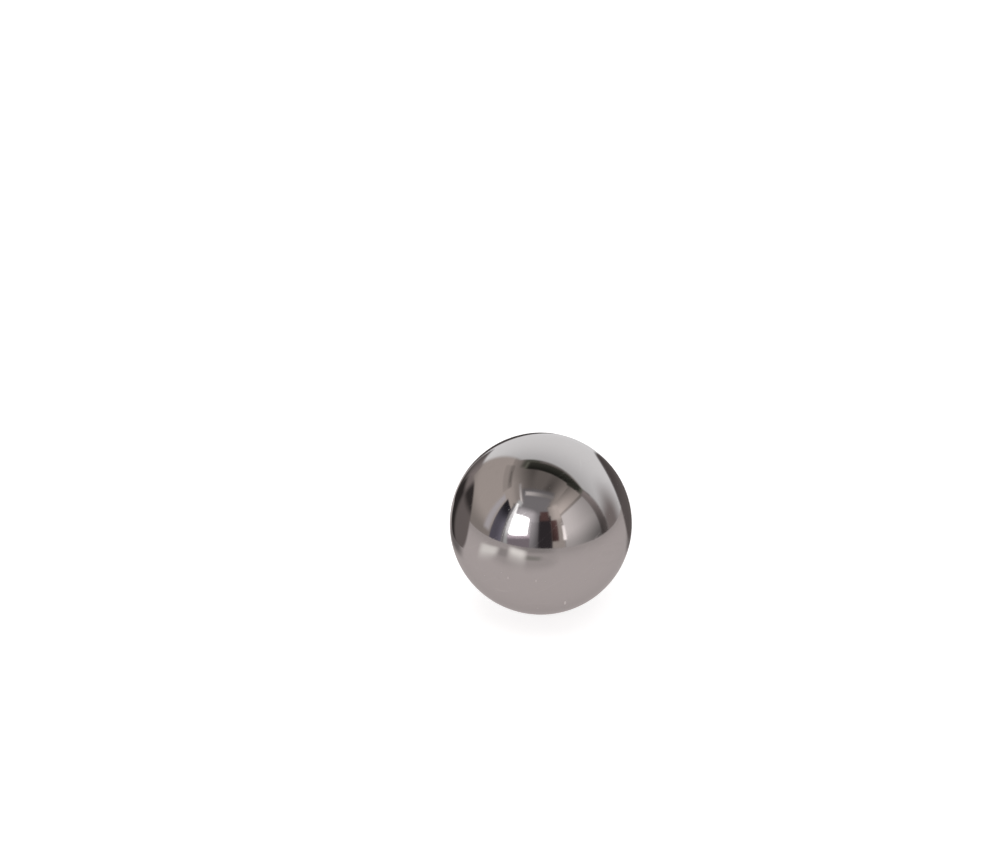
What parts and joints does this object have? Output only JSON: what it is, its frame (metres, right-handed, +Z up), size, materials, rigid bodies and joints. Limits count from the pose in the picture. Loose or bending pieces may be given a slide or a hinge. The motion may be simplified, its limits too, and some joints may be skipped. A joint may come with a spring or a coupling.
{
  "type": "steel ball",
  "caption": "Solid steel ball, ground and lapped to a true sphere with a mirror polish all over; it rolls freely and sits in a cup, race or ring.",
  "frame": {"origin": "centre of the sphere", "axes": "+Z points up from the surface that the ball lies on; the ball is alike all round, so +X and +Y are free, with +X to the right of the main view and +Y away from the viewer"},
  "size_m": [0.02, 0.02, 0.02],
  "materials": {
    "polished_steel": "polished"
  },
  "bodies": {
    "root": {"ball": "polished_steel"}
  },
  "joints": []
}
